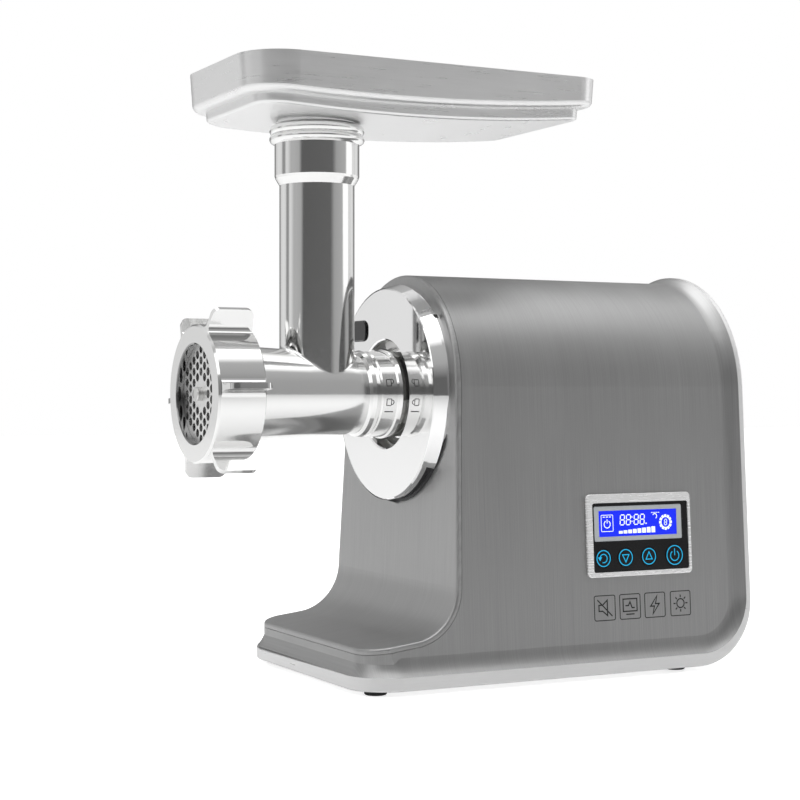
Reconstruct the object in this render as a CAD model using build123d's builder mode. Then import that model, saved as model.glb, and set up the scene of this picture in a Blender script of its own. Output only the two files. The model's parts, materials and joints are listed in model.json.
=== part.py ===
from build123d import *
from math import acos, atan2, cos, degrees, hypot, pi, radians, sin, sqrt, tan
import os

# Electric meat grinder, millimetres, +Z up. X runs from the ring nut (low X) to the back.
# The origin is the middle of the whole object's box, at the height that it stands on.

os.makedirs("parts", exist_ok=True)

# ---------------------------------------------------------------- driving dimensions
body_length = 270.0          # toe of the foot to the back of the rear bezel
overall_length = 337.6       # face of the ring nut to the back of the rear bezel
axis_z = 170.0               # height of the auger's axis
arch_r = 72.8                # top of the housing, round the auger's axis
flank_angle = 3.56           # how far each flank leans out towards the floor, degrees
tray_half_width = 87.0       # half width of the silver base
wall = 2.5                   # sheet and casting walls
plate_r = 31.0               # cutting plate, the common size 8
gap = 0.3                    # clearance between pieces that move past each other
running = 0.05               # radial clearance of a running fit

rear_x = overall_length / 2
nose_x = -overall_length / 2
toe_x = rear_x - body_length
shell_rear_x = rear_x - 4.0
face_x = toe_x + 66.0        # front face of the housing, at the height of the auger
disc_x = toe_x + 56.0        # face of the mirror disc
tube_x = toe_x + 11.0        # axis of the feed tube

foot_z = 3.0                 # underside of the base tray, above the rubber feet
shell_z = 11.0               # lower edge of the housing
flare_height = 11.0
flare_out = 4.4
flare_r = 16.0                # hollow of the flare, seen across it
flare_root = 1.8             # how far the flare reaches into the wall
face_lean = 0.03125          # how far the face leans, per unit of height
foot_slope = 0.125
foot_top_z = 26.0            # top of the foot at its toe
sweep_r = 30.0               # between the face and the foot
toe_corner_r = 20.0
rear_corner_r = 34.0
trim_corner_r = 40.0
top_z = axis_z + arch_r


# ---------------------------------------------------------------- helpers
def shaft_plane(y=0.0, z=axis_z):
    """Plane along a shaft: its x is X, its y is the radius."""
    return Plane(origin=(0, y, z), x_dir=(1, 0, 0), z_dir=(0, -1, 0))


def turn(corners, y=0.0, z=axis_z, mode=Mode.ADD):
    """Turn an outline of (x, radius) corners about the shaft at (y, z)."""
    with BuildSketch(shaft_plane(y, z)) as outline:
        with BuildLine():
            Polyline(*corners, close=True)
        make_face()
    revolve(outline.sketch, axis=Axis((0, y, z), (1, 0, 0)), mode=mode)


def drum(start, end, radius, y=0.0, z=axis_z, mode=Mode.ADD):
    """Round bar or hole along X."""
    with BuildSketch(Plane.YZ.offset(start)) as disc:
        with Locations((y, z)):
            Circle(radius)
    extrude(disc.sketch, amount=end - start, mode=mode)


def bar(x, y, z, mode=Mode.ADD):
    """Rectangular block between pairs of limits along X, Y and Z."""
    with BuildSketch(Plane.XY.offset(z[0])) as base:
        with Locations(((x[0] + x[1]) / 2, (y[0] + y[1]) / 2)):
            Rectangle(x[1] - x[0], y[1] - y[0])
    extrude(base.sketch, amount=z[1] - z[0], mode=mode)


def post(x, y, z, radius, mode=Mode.ADD):
    """Round bar or hole along Z between a pair of heights."""
    with BuildSketch(Plane.XY.offset(z[0])) as base:
        with Locations((x, y)):
            Circle(radius)
    extrude(base.sketch, amount=z[1] - z[0], mode=mode)


def save(piece, label):
    """Label a finished piece and write its file."""
    piece.label = label
    export_step(piece, "parts/" + label + ".step")


# ---------------------------------------------------------------- housing envelope
def flank_half_width(z, inset=0.0):
    """Half width of the housing at a height below the arch."""
    lean = radians(flank_angle)
    return (arch_r - inset) / cos(lean) + (axis_z - z) * tan(lean)


def arch_outline(inset, bottom):
    """Arch with leaning flanks, closed along the bottom."""
    lean = radians(flank_angle)
    radius = arch_r - inset
    shoulder = (radius * cos(lean), axis_z + radius * sin(lean))
    foot = (flank_half_width(bottom, inset), bottom)
    ThreePointArc(shoulder, (0, axis_z + radius), (-shoulder[0], shoulder[1]))
    Polyline((-shoulder[0], shoulder[1]), (-foot[0], foot[1]), foot, shoulder)


def face_at(z, inset=0.0):
    """X of the front face at a height."""
    return face_x + (z - axis_z) * face_lean + inset


def front_corners(inset):
    """Top, inner corner and toe end of the line down the face and along the foot."""
    rise = inset * sqrt(1 + foot_slope ** 2)
    toe = toe_x + 5.0
    corner_z = foot_top_z - rise
    for _ in range(20):
        corner_z = foot_top_z - rise + foot_slope * (face_at(corner_z, inset) - toe)
    top = (face_at(300.0, inset), 300.0)
    corner = (face_at(corner_z, inset), corner_z)
    end_x = toe - 40.0
    return top, corner, (end_x, foot_top_z - rise + foot_slope * (end_x - toe))


def housing_form(inset=0.0, rear=shell_rear_x, open_below=False):
    """Solid form of the housing: arch across, face and foot along, rounded toe."""
    top, corner, end = front_corners(inset)
    bottom = shell_z - 20.0 if open_below else shell_z
    with BuildPart() as form:
        with BuildSketch(Plane.YZ.offset(toe_x)):
            with BuildLine():
                arch_outline(inset, bottom)
            make_face()
        extrude(amount=rear - toe_x)
        with BuildSketch(shaft_plane(0, 0)):
            with BuildLine():
                FilletPolyline(top, corner, end, radius=sweep_r + inset)
                Polyline(end, (end[0], -50), (rear + 30, -50), (rear + 30, 300), top)
            make_face()
        extrude(amount=150, both=True, mode=Mode.INTERSECT)
        with BuildSketch(Plane.XY.offset(-60)) as plan:
            with Locations(((toe_x + 5 + inset + rear + 60) / 2, 0)):
                Rectangle(rear + 60 - toe_x - 5 - inset, 2 * flank_half_width(shell_z, inset))
            fillet(plan.vertices().group_by(Axis.X)[0], toe_corner_r - inset)
        extrude(amount=400, mode=Mode.INTERSECT)
        if not open_below:
            with BuildSketch(shaft_plane(0, 0)) as side:
                with BuildLine():
                    Polyline(
                        (toe_x - 60, shell_z), (rear, shell_z), (rear, 320), (toe_x - 60, 320),
                        close=True,
                    )
                make_face()
                fillet(side.vertices().group_by(Axis.X)[-1].sort_by(Axis.Y)[0], rear_corner_r)
            extrude(amount=150, both=True, mode=Mode.INTERSECT)
    return form.part


def side_block(low_x, high_x, low_z, corner):
    """Block as wide as the machine whose lower rear corner is round, seen from the side."""
    with BuildPart() as block:
        with BuildSketch(shaft_plane(0, 0)) as side:
            with BuildLine():
                Polyline((low_x, low_z), (high_x, low_z), (high_x, 400), (low_x, 400), close=True)
            make_face()
            fillet(side.vertices().group_by(Axis.X)[-1].sort_by(Axis.Y)[0], corner)
        extrude(amount=200, both=True)
    return block.part


def boundary_edges(faces):
    """Edges that belong to only one face of a group."""
    edges = ShapeList([edge for face in faces for edge in face.edges()])
    centres = [edge.center() for edge in edges]
    return ShapeList([
        edge for edge, centre in zip(edges, centres)
        if sum((centre - other).length < 0.001 for other in centres) == 1
    ])


def flare():
    """Concave flare round the toe, along the flank, up the rear edge and over the arch."""
    toe = toe_x + 5.0
    nose = toe + toe_corner_r
    side = -flank_half_width(shell_z)
    lean = radians(flank_angle)
    up = Vector(0, sin(lean), cos(lean))
    edge_rear = Vector(shell_rear_x, side, shell_z)
    turn_start = edge_rear - Vector(rear_corner_r, 0, 0)
    turn_end = edge_rear + up * rear_corner_r
    turn_centre = turn_start + up * rear_corner_r
    turn_middle = turn_centre + (Vector(1, 0, 0) - up).normalized() * rear_corner_r
    shoulder_angle = pi - lean
    middle_angle = (shoulder_angle + pi / 2) / 2
    shoulder = (shell_rear_x, arch_r * cos(shoulder_angle), axis_z + arch_r * sin(shoulder_angle))
    haunch = (shell_rear_x, arch_r * cos(middle_angle), axis_z + arch_r * sin(middle_angle))
    corner_offset = toe_corner_r * (1 - sin(pi / 4))
    flare_start = -flare_height * tan(lean)
    with BuildLine() as path:
        Line((toe, 0, shell_z), (toe, side + toe_corner_r, shell_z))
        ThreePointArc(
            (toe, side + toe_corner_r, shell_z),
            (toe + corner_offset, side + corner_offset, shell_z),
            (nose, side, shell_z),
        )
        Line((nose, side, shell_z), turn_start)
        ThreePointArc(turn_start, turn_middle, turn_end)
        Line(turn_end, shoulder)
        ThreePointArc(shoulder, haunch, (shell_rear_x, 0, top_z))
    with BuildPart() as skirt:
        with BuildSketch(Plane(origin=(toe, 0, shell_z), x_dir=(-1, 0, 0), z_dir=(0, 1, 0))):
            with BuildLine():
                Line((-flare_root, 0), (flare_out, 0))
                RadiusArc((flare_out, 0), (flare_start, flare_height), flare_r)
                Polyline((flare_start, flare_height), (-flare_root, flare_height), (-flare_root, 0))
            make_face()
        sweep(path=path.wires()[0])
        mirror(about=Plane.XZ)
        add(side_block(toe_x - 100, shell_rear_x, shell_z, rear_corner_r), mode=Mode.INTERSECT)
    return skirt.part


def front_zone(depth):
    """Everything in front of a surface that lies a given depth behind the face and foot."""
    top, corner, end = front_corners(depth)
    with BuildPart() as zone:
        with BuildSketch(shaft_plane(0, 0)):
            with BuildLine():
                FilletPolyline(top, corner, end, radius=sweep_r + depth)
                Polyline(end, (end[0], top[1]), top)
            make_face()
        extrude(amount=120, both=True)
    return zone.part


# ---------------------------------------------------------------- control panel plane
panel_centre_x = toe_x + 189.25
panel_centre_z = 85.0
panel_size = (76.0, 49.8)
panel_plug = (73.0, 46.0)            # part of the frame that stands in the flank's opening
field_size = (69.8, 41.5)
field_shift = (1.0, -1.25)           # the frame is wider at the top and at the left
display_size = (64.0, 21.0)
display_centre = (-0.4, 7.0)
lcd_size = (57.0, 15.6)
key_row_v = -13.6
key_places = {"reverse": -26.75, "down": -10.75, "up": 6.25, "power": 25.25}
key_radii = {"reverse": 5.5, "down": 5.5, "up": 5.5, "power": 6.5}
key_travel = 0.8
lean = radians(flank_angle)
panel_plane = Plane(
    origin=(panel_centre_x, -flank_half_width(panel_centre_z), panel_centre_z),
    x_dir=(1, 0, 0),
    z_dir=(0, -cos(lean), sin(lean)),
)


def plate(size, low, high, centre=(0, 0), corner=1.0, mode=Mode.ADD):
    """Rounded plate parallel to the control panel, between two heights above the flank."""
    with BuildSketch(panel_plane.offset(low)) as base:
        with Locations(centre):
            RectangleRounded(size[0], size[1], corner)
    extrude(base.sketch, amount=high - low, mode=mode)


def stud(radius, low, high, centre, mode=Mode.ADD):
    """Round stud or hole square to the control panel."""
    with BuildSketch(panel_plane.offset(low)) as base:
        with Locations(centre):
            Circle(radius)
    extrude(base.sketch, amount=high - low, mode=mode)


# ---------------------------------------------------------------- head socket stations
ring_side_x = disc_x + 7.5           # where the ring's bevel turns into its side
ring_step_x = disc_x + 6.2           # the ring is thinner behind this, over the seat
snout_r = 36.0
pocket_r = 33.0
spigot_r = 27.0
case_front_x = toe_x + 79.0
case_rear_x = toe_x + 121.0
cover_rear_x = case_rear_x + 3.0
tab_angle = 40.0
tab_count = 3

button_y = 33.5
button_z = axis_z + 39.4
button_size = (21.0, 12.6)
button_corner_r = 4.6
button_proud = 1.2                   # how far the button stands out of the disc


def ring_sector(start, end, inner, outer, middle, spread, mode=Mode.ADD):
    """Part of a ring about the auger's axis, centred on an angle from +Y towards +Z."""
    first = radians(middle - spread / 2)
    centre = radians(middle)
    last = radians(middle + spread / 2)

    def at(radius, angle):
        return (radius * cos(angle), axis_z + radius * sin(angle))

    with BuildSketch(Plane.YZ.offset(start)) as sector:
        with BuildLine():
            ThreePointArc(at(outer, first), at(outer, centre), at(outer, last))
            Line(at(outer, last), at(inner, last))
            ThreePointArc(at(inner, last), at(inner, centre), at(inner, first))
            Line(at(inner, first), at(outer, first))
        make_face()
    extrude(sector.sketch, amount=end - start, mode=mode)


def button_outline(start, end, grow, mode=Mode.ADD):
    """Rounded block of the release button, or the hole that clears it."""
    with BuildSketch(Plane.YZ.offset(start)) as base:
        with Locations((button_y, button_z)):
            RectangleRounded(button_size[0] + 2 * grow, button_size[1] + 2 * grow, button_corner_r)
    extrude(base.sketch, amount=end - start, mode=mode)


# ---------------------------------------------------------------- housing shells
seam_depth = 3.2
seam_gap = 0.25
tongue = 1.5
edge_round = 1.6

sharp_form = housing_form()
front_faces = [
    face for face in sharp_form.faces()
    if abs(face.center().Y) < 0.1
    and face.normal_at(face.center()).X < -0.05
    and face.center().X > toe_x + 5.1
]
outer_form = fillet(boundary_edges(front_faces), edge_round)
cavity = housing_form(wall, shell_rear_x + 10, open_below=True)
tongue_cavity = housing_form(wall + tongue, shell_rear_x + 10, open_below=True)

boss_x = (toe_x + 40, toe_x + 215)
boss_y = 68.0
board_posts = [(x, z) for x in (toe_x + 150, toe_x + 225) for z in (65, 125)]
board_y = 66.0

with BuildPart() as main_housing:
    add(outer_form)
    add(flare())
    add(cavity, mode=Mode.SUBTRACT)
    add(front_zone(seam_depth + seam_gap), mode=Mode.SUBTRACT)
    plate((panel_plug[0] + 0.4, panel_plug[1] + 0.4), -8, 8, corner=3.0, mode=Mode.SUBTRACT)
    for x in boss_x:
        for side in (-1, 1):
            bar((x - 5, x + 5), sorted((side * 62, side * 81)), (shell_z, 18))
            post(x, side * boss_y, (shell_z, 17), 1.7, mode=Mode.SUBTRACT)
    for x, z in board_posts:
        with BuildSketch(Plane.XZ.offset(-board_y)):
            with Locations((x, z)):
                Circle(3)
        extrude(amount=board_y - flank_half_width(z, wall) - 1.0)
save(main_housing.part, "main_housing")

with BuildPart() as front_tongue:
    add(cavity)
    add(tongue_cavity, mode=Mode.SUBTRACT)
    add(front_zone(seam_depth + 5), mode=Mode.INTERSECT)

with BuildPart() as front_panel:
    add(outer_form)
    add(cavity, mode=Mode.SUBTRACT)
    add(front_zone(seam_depth), mode=Mode.INTERSECT)
    add(front_tongue.part)
    drum(toe_x, case_front_x, snout_r + 1, mode=Mode.SUBTRACT)
    button_outline(toe_x, case_front_x, 1.0, mode=Mode.SUBTRACT)
save(front_panel.part, "front_panel")


# ---------------------------------------------------------------- silver base and rear bezel
outset = flare_out - 0.2
bezel_width = 8.0
opening_z = shell_z + 26


with BuildPart() as band:
    with BuildSketch(Plane.YZ.offset(toe_x)):
        with BuildLine():
            arch_outline(-outset, shell_z)
        make_face()
        with Locations((0, (shell_z + foot_z) / 2)):
            Rectangle(2 * flank_half_width(shell_z, -outset), shell_z - foot_z)
    extrude(amount=body_length)
    fillet(band.edges().filter_by(Axis.Z).group_by(Axis.X)[0], toe_corner_r + 5)
    add(side_block(toe_x - 100, rear_x, foot_z, trim_corner_r), mode=Mode.INTERSECT)
    outside = [
        face for face in band.faces()
        if abs(face.center().Y) < 0.1 and (face.center().X > rear_x - 30 or face.center().Z < foot_z + 1)
        and face.normal_at(face.center()).Z < 0.01
    ]
    fillet(boundary_edges(outside), 1.5)
    add(side_block(toe_x - 100, shell_rear_x, shell_z, rear_corner_r), mode=Mode.SUBTRACT)

seam_centre = (shell_rear_x - rear_corner_r, shell_z + rear_corner_r)
with BuildPart() as rear_zone:
    with BuildSketch(shaft_plane(0, 0)):
        with BuildLine():
            Polyline(
                seam_centre, (seam_centre[0] + 90, seam_centre[1] - 90), (seam_centre[0] + 90, 300),
                (seam_centre[0], 300), close=True,
            )
        make_face()
    extrude(amount=150, both=True)

with BuildPart() as rear_bezel:
    add(band.part)
    add(rear_zone.part, mode=Mode.INTERSECT)
    with BuildSketch(Plane.YZ.offset(shell_rear_x - 20)):
        with BuildLine():
            arch_outline(bezel_width - outset, opening_z)
        make_face()
    extrude(amount=30, mode=Mode.SUBTRACT)
save(rear_bezel.part, "rear_bezel")

tray_floor_z = foot_z + wall
with BuildPart() as base_tray:
    add(band.part)
    add(rear_zone.part, mode=Mode.SUBTRACT)
    with BuildSketch(Plane.XY.offset(tray_floor_z)) as hollow:
        with Locations(((toe_x + 3 + shell_rear_x - rear_corner_r) / 2, 0)):
            Rectangle(shell_rear_x - rear_corner_r - toe_x - 3, 2 * tray_half_width - 6)
        fillet(hollow.vertices().group_by(Axis.X)[0], toe_corner_r + 2)
    extrude(amount=20, mode=Mode.SUBTRACT)
    for x in boss_x:
        for side in (-1, 1):
            post(x, side * boss_y, (tray_floor_z - 1, shell_z), 5)
            post(x, side * boss_y, (0, shell_z), 2.2, mode=Mode.SUBTRACT)
            post(x, side * boss_y, (0, foot_z + 3), 4.2, mode=Mode.SUBTRACT)
    for slot in range(9):
        x = toe_x + 110 + 7 * slot
        bar((x, x + 3.0), (-38, 38), (0, 9), mode=Mode.SUBTRACT)
save(base_tray.part, "base_tray")

foot_x = (toe_x + 15.3, toe_x + 222)
foot_r = 6.5
foot_y = 70.0
for end, x in zip(("front", "rear"), foot_x):
    for side, y in zip(("near", "far"), (-foot_y, foot_y)):
        with BuildPart() as rubber_foot:
            post(x, y, (0, foot_z), foot_r)
            fillet(rubber_foot.edges().group_by(Axis.Z)[0], 1.0)
        save(rubber_foot.part, "foot_" + end + "_" + side)


# ---------------------------------------------------------------- collar round the socket
disc_r = 64.4
ring_front_r = disc_r + 0.2
ring_r = 67.1
ring_rear_r = 67.6
seat_r = 66.0
ring_cut_middle = 180 + 64.5         # the gap in the ring, from +Y towards +Z, degrees
ring_cut_spread = 47.0

with BuildPart() as collar_disc:
    turn([
        (disc_x + 4, snout_r + 0.4), (disc_x + 4, disc_r), (disc_x + 0.8, disc_r), (disc_x, disc_r - 0.8),
        (disc_x, pocket_r + 0.8), (disc_x + 0.8, pocket_r), (disc_x + 3, pocket_r),
        (disc_x + 3, snout_r + 0.4),
    ])
    button_outline(disc_x - 1, disc_x + 5, gap, mode=Mode.SUBTRACT)
save(collar_disc.part, "collar_disc")

with BuildPart() as collar_ring:
    turn([
        (disc_x + 0.3, ring_front_r), (ring_side_x, ring_r), (disc_x + 14.5, ring_rear_r),
        (disc_x + 14.5, seat_r + 0.1), (ring_step_x, seat_r + 0.1), (ring_step_x, ring_front_r),
    ])
    ring_sector(
        disc_x - 1, disc_x + 20, disc_r - 2, ring_r + 3, ring_cut_middle, ring_cut_spread,
        mode=Mode.SUBTRACT,
    )
    with BuildSketch(shaft_plane(0, 0)) as relief:
        with BuildLine():
            Polyline(
                (disc_x + 14.3, axis_z - 8.2), (ring_side_x, axis_z - 28.3), (ring_side_x, axis_z - 80),
                (disc_x + 20, axis_z - 80), (disc_x + 20, axis_z - 8.2), close=True,
            )
        make_face()
    extrude(relief.sketch, amount=80, both=True, mode=Mode.SUBTRACT)
    add(outer_form, mode=Mode.SUBTRACT)
save(collar_ring.part, "collar_ring")

with BuildPart() as collar_seat:
    turn([
        (disc_x + 4, snout_r + 0.4), (toe_x + 75, snout_r + 0.4), (toe_x + 75, seat_r),
        (ring_step_x + 0.1, seat_r), (ring_step_x + 0.1, disc_r + 0.1), (disc_x + 4, disc_r + 0.1),
    ])
    button_outline(disc_x, toe_x + 76, gap, mode=Mode.SUBTRACT)
    add(outer_form, mode=Mode.SUBTRACT)
save(collar_seat.part, "collar_seat")

with BuildPart() as release_button:
    button_outline(disc_x - button_proud, disc_x + 9, 0)
    fillet(release_button.faces().sort_by(Axis.X)[0].edges(), 0.8)
    drum(disc_x + 9, disc_x + 17, 4, button_y, button_z)
    drum(disc_x + 14, disc_x + 16, 6.0, button_y, button_z)
save(release_button.part, "release_button")

# ---------------------------------------------------------------- head: one casting
mouth_x = nose_x + 5.8               # open end of the barrel, inside the ring nut
nut_rear_x = nose_x + 29.0
bore_r = 21.5
plate_front_x = nose_x + 4.6
plate_thick = 5.0
plate_rear_x = plate_front_x + plate_thick
knife_rear_x = plate_rear_x + 7.0
seat_depth_x = plate_rear_x + 0.1
mouth_r = 35.0
tube_r = 22.5
tube_bore_r = 20.0
neck_r = 25.4
neck_bore_r = 22.4
spout_r = 22.3
band_start_x = toe_x + 42
tube_top_z = axis_z + 161.0
neck_start_z = axis_z + 124.5
bead_r = neck_r + 3.1
bead_low = (neck_r + 1.2, axis_z + 149.6)
bead_middle = (neck_r + 1.6, axis_z + 154.6)
bead_high = (neck_r + 0.4, axis_z + 160.6)

with BuildPart() as head_casting:
    turn([
        (mouth_x, 0), (mouth_x, mouth_r - 0.6), (mouth_x + 0.6, mouth_r), (nut_rear_x - 4, mouth_r),
        (nut_rear_x + 1, 29.5), (nut_rear_x + 5, 28.0), (toe_x + 34.5, 24.2), (toe_x + 36, 25.8),
        (toe_x + 38.5, 26.4), (toe_x + 41, 25.8), (band_start_x, 25.0), (toe_x + 43, 25.8),
        (toe_x + 52, 26.2), (toe_x + 53, 27.2), (toe_x + 55, 27.7), (toe_x + 57, 27.2),
        (toe_x + 58, 26.0), (toe_x + 66.4, 26.0), (toe_x + 66.4, spigot_r - running),
        (case_front_x - 0.4, spigot_r - running), (case_front_x - 0.4, 0),
    ])
    post(tube_x, 0, (axis_z, tube_top_z), tube_r)
    with BuildSketch(Plane(origin=(tube_x, 0, 0), x_dir=(1, 0, 0), z_dir=(0, -1, 0))):
        with BuildLine():
            Polyline(
                (0, neck_start_z), (tube_r, neck_start_z), (neck_r - 0.5, axis_z + 128.5),
                (neck_r, axis_z + 130), (neck_r, axis_z + 149), bead_low,
            )
            ThreePointArc(bead_low, (bead_r, axis_z + 152.0), bead_middle)
            ThreePointArc(bead_middle, (bead_r, axis_z + 157.4), bead_high)
            Polyline(bead_high, (neck_r - 1, tube_top_z), (0, tube_top_z), (0, neck_start_z))
        make_face()
    revolve(axis=Axis((tube_x, 0, 0), (0, 0, 1)))
    for tab in range(tab_count):
        ring_sector(toe_x + 66.4, toe_x + 70.2, 25, 31.5, 90 + tab * 120, tab_angle)
    saddle = head_casting.edges().filter_by(GeomType.BSPLINE).filter_by(
        lambda edge: edge.center().Z > axis_z + 8 and abs(edge.center().X - tube_x) < 21
    )
    fillet(saddle, 2.0)
    turn([
        (mouth_x - 1, 0), (mouth_x - 1, plate_r + gap), (seat_depth_x, plate_r + gap), (seat_depth_x, 29.5),
        (knife_rear_x, 29.5), (knife_rear_x, bore_r), (toe_x + 70, bore_r), (toe_x + 70, 0),
    ], mode=Mode.SUBTRACT)
    drum(toe_x + 60, case_front_x, 12.0, mode=Mode.SUBTRACT)
    post(tube_x, 0, (axis_z, tube_top_z + 1), tube_bore_r, mode=Mode.SUBTRACT)
    post(tube_x, 0, (axis_z + 134, tube_top_z + 1), neck_bore_r, mode=Mode.SUBTRACT)
    bar((mouth_x + 1.5, plate_rear_x + 1), (-1.5, 1.5), (axis_z - plate_r - 1.5, axis_z - plate_r + 1.6))
save(head_casting.part, "head_casting")

bush_r = 9.05
with BuildPart() as head_bush:
    turn([
        (toe_x + 70.2, bush_r), (case_front_x - 0.4, bush_r), (case_front_x - 0.4, 12.0),
        (toe_x + 70.2, 12.0),
    ])
save(head_bush.part, "head_bush")

# ---------------------------------------------------------------- ring nut, plate, knife, auger
nut_r = 40.5
nut_opening_r = 29.0
flange_rear_x = plate_front_x - 0.1  # the nut bears on the plate here
lug_tip_r = 54.0
lug_thick = 3.2
lug_count = 6
lug_first = 5.0                      # tilt of the first lug above the near side, degrees

with BuildPart() as ring_nut:
    turn([
        (nose_x, nut_opening_r + 0.6), (nose_x + 0.6, nut_opening_r), (flange_rear_x, nut_opening_r),
        (flange_rear_x, mouth_r + gap), (nut_rear_x, mouth_r + gap), (nut_rear_x, nut_r - 0.5),
        (nut_rear_x - 0.5, nut_r), (nose_x + 1.2, nut_r), (nose_x, nut_r - 1.2),
    ])
    with BuildSketch(shaft_plane()) as lug:
        with BuildLine():
            Polyline(
                (nose_x + 1.2, nut_r - 1.5), (nose_x + 3.4, lug_tip_r), (nut_rear_x - 1.0, lug_tip_r),
                (nut_rear_x, nut_r - 1.5), close=True,
            )
        make_face()
        fillet(lug.vertices().group_by(Axis.Y)[-1], 4.5)
    lug_blade = extrude(lug.sketch, amount=lug_thick / 2, both=True, mode=Mode.PRIVATE)
    for turn_step in range(lug_count):
        angle = 90 - lug_first + turn_step * 360 / lug_count
        add(lug_blade.rotate(Axis((0, 0, axis_z), (1, 0, 0)), angle))
    roots = [
        edge for edge in ring_nut.edges().filter_by(Axis.X)
        if edge.length > 15 and abs(hypot(edge.center().Y, edge.center().Z - axis_z) - nut_r) < 0.2
    ]
    fillet(roots, 4.5)
save(ring_nut.part, "ring_nut")

hole_pitch = 6.5
hole_r = 2.45
pin_r = 4.0
with BuildPart() as cutting_plate:
    drum(plate_front_x, plate_rear_x, plate_r)
    with BuildSketch(Plane.YZ.offset(plate_front_x)):
        for column in range(-4, 5):
            for row in range(-5, 6):
                y = column * hole_pitch * cos(pi / 6)
                z = (row + (column % 2) / 2) * hole_pitch
                if 9.0 < hypot(y, z) < 26.2:
                    with Locations((y, axis_z + z)):
                        Circle(hole_r)
        with Locations((0, axis_z)):
            Circle(pin_r + running)
        with Locations((0, axis_z - plate_r)):
            Rectangle(4.0, 4.0)
    extrude(amount=plate_thick, mode=Mode.SUBTRACT)
save(cutting_plate.part, "cutting_plate")

knife_r = 26.0
with BuildPart() as knife:
    drum(plate_rear_x + 0.1, knife_rear_x - 1.0, 10.0)
    for arm in range(4):
        with BuildSketch(Plane.YZ.offset(plate_rear_x + 0.1)) as arm_face:
            with BuildLine():
                Polyline(
                    (-3.5, axis_z), (-5.5, axis_z + knife_r), (2.0, axis_z + knife_r), (4.5, axis_z),
                    close=True,
                )
            make_face()
        knife_arm = extrude(arm_face.sketch, amount=4.0, mode=Mode.PRIVATE)
        add(knife_arm.rotate(Axis((0, 0, axis_z), (1, 0, 0)), 90 * arm))
    bar((plate_rear_x - 1, knife_rear_x), (-4.0, 4.0), (axis_z - 4.0, axis_z + 4.0), mode=Mode.SUBTRACT)
save(knife.part, "knife")

auger_rear_x = toe_x + 68.0
flight_r = bore_r - 0.6
flight_pitch = 24.0
flight_start_x = knife_rear_x + 2.0
flight_turns = 3.9
core_start_r = 11.0                  # radius that the flight is wound on
with BuildPart() as auger:
    turn([
        (plate_front_x - 3.5, 0), (plate_front_x - 3.5, pin_r - 0.6), (plate_front_x - 2.9, pin_r),
        (plate_rear_x + 0.1, pin_r), (plate_rear_x + 0.1, 3.9), (knife_rear_x, 3.9), (knife_rear_x, 10.0),
        (auger_rear_x - 4, 13.0), (auger_rear_x - 4, flight_r), (auger_rear_x, flight_r),
        (auger_rear_x, 9.0),
        (case_front_x + 0.2, 9.0), (case_front_x + 0.2, 0),
    ])
    with BuildLine() as spiral:
        Helix(
            flight_pitch, flight_pitch * flight_turns, core_start_r,
            center=(flight_start_x, 0, axis_z), direction=(1, 0, 0),
        )
    start = spiral.line @ 0
    outward = Vector(0, start.Y, start.Z - axis_z).normalized()
    with BuildSketch(Plane(origin=start, x_dir=outward, z_dir=spiral.line % 0)) as flight:
        with BuildLine():
            Polyline(
                (-2.5, -3.0), (flight_r - core_start_r, -1.4), (flight_r - core_start_r, 1.4), (-2.5, 3.0),
                close=True,
            )
        make_face()
    sweep(flight.sketch, path=spiral.line, is_frenet=True)
    bar((case_front_x + 0.2, toe_x + 91), (-6, 6), (axis_z - 6, axis_z + 6))
save(auger.part, "auger")

# ---------------------------------------------------------------- food tray
tray_x = (toe_x - 55.0, toe_x + 175.0)
tray_y = 62.0
rim_z = 362.5
tray_wall = 1.5
front_corner = 28.0
back_corner = 16.0
trough_inset = 8.0


def tray_level(inset, corners, arc, edge_round):
    """Drafted dish with rounded corners, its bottom a shallow arc seen from the side."""
    front = (tray_x[0] - 10, arc[0])
    back = (tray_x[1] + 10, arc[2])
    with BuildPart() as dish:
        with BuildSketch(Plane.XY.offset(rim_z)) as rim:
            with Locations(((tray_x[0] + tray_x[1]) / 2, 0)):
                Rectangle(tray_x[1] - tray_x[0] - 2 * inset, 2 * (tray_y - inset))
            fillet(rim.vertices().group_by(Axis.X)[0], corners[0])
            fillet(rim.vertices().group_by(Axis.X)[-1], corners[1])
        extrude(amount=-40, taper=4)
        with BuildSketch(shaft_plane(0, 0)):
            with BuildLine():
                ThreePointArc(front, (toe_x + 45, arc[1]), back)
                Polyline(back, (back[0], rim_z + 5), (front[0], rim_z + 5), front)
            make_face()
        extrude(amount=100, both=True, mode=Mode.INTERSECT)
        bottom = dish.faces().sort_by(Axis.Z)[0]
        fillet(bottom.edges(), edge_round)
    return dish.part


def tray_form(inset):
    """Outside of the tray, or the hollow that leaves its wall."""
    upper = tray_level(inset, (front_corner - inset, back_corner - inset),
                       (341.5 + inset, 338.5 + inset, 347.5 + inset), 4.0)
    lower = tray_level(inset + trough_inset, (front_corner - 8 - inset, back_corner - 6 - inset),
                       (336.0 + inset, 331.6 + inset, 340.5 + inset), 2.0)
    return upper, lower


tray_outer = tray_form(0.0)
tray_hollow = tray_form(tray_wall)
with BuildPart() as food_tray:
    for level in tray_outer:
        add(level)
    post(tube_x, 0, (tube_top_z + gap, 340), 24.0)
    for level in tray_hollow:
        add(level, mode=Mode.SUBTRACT)
    post(tube_x, 0, (axis_z + 136, tube_top_z + 8), spout_r)
    post(tube_x, 0, (axis_z + 130, 350), spout_r - tray_wall, mode=Mode.SUBTRACT)
save(food_tray.part, "food_tray")

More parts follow.
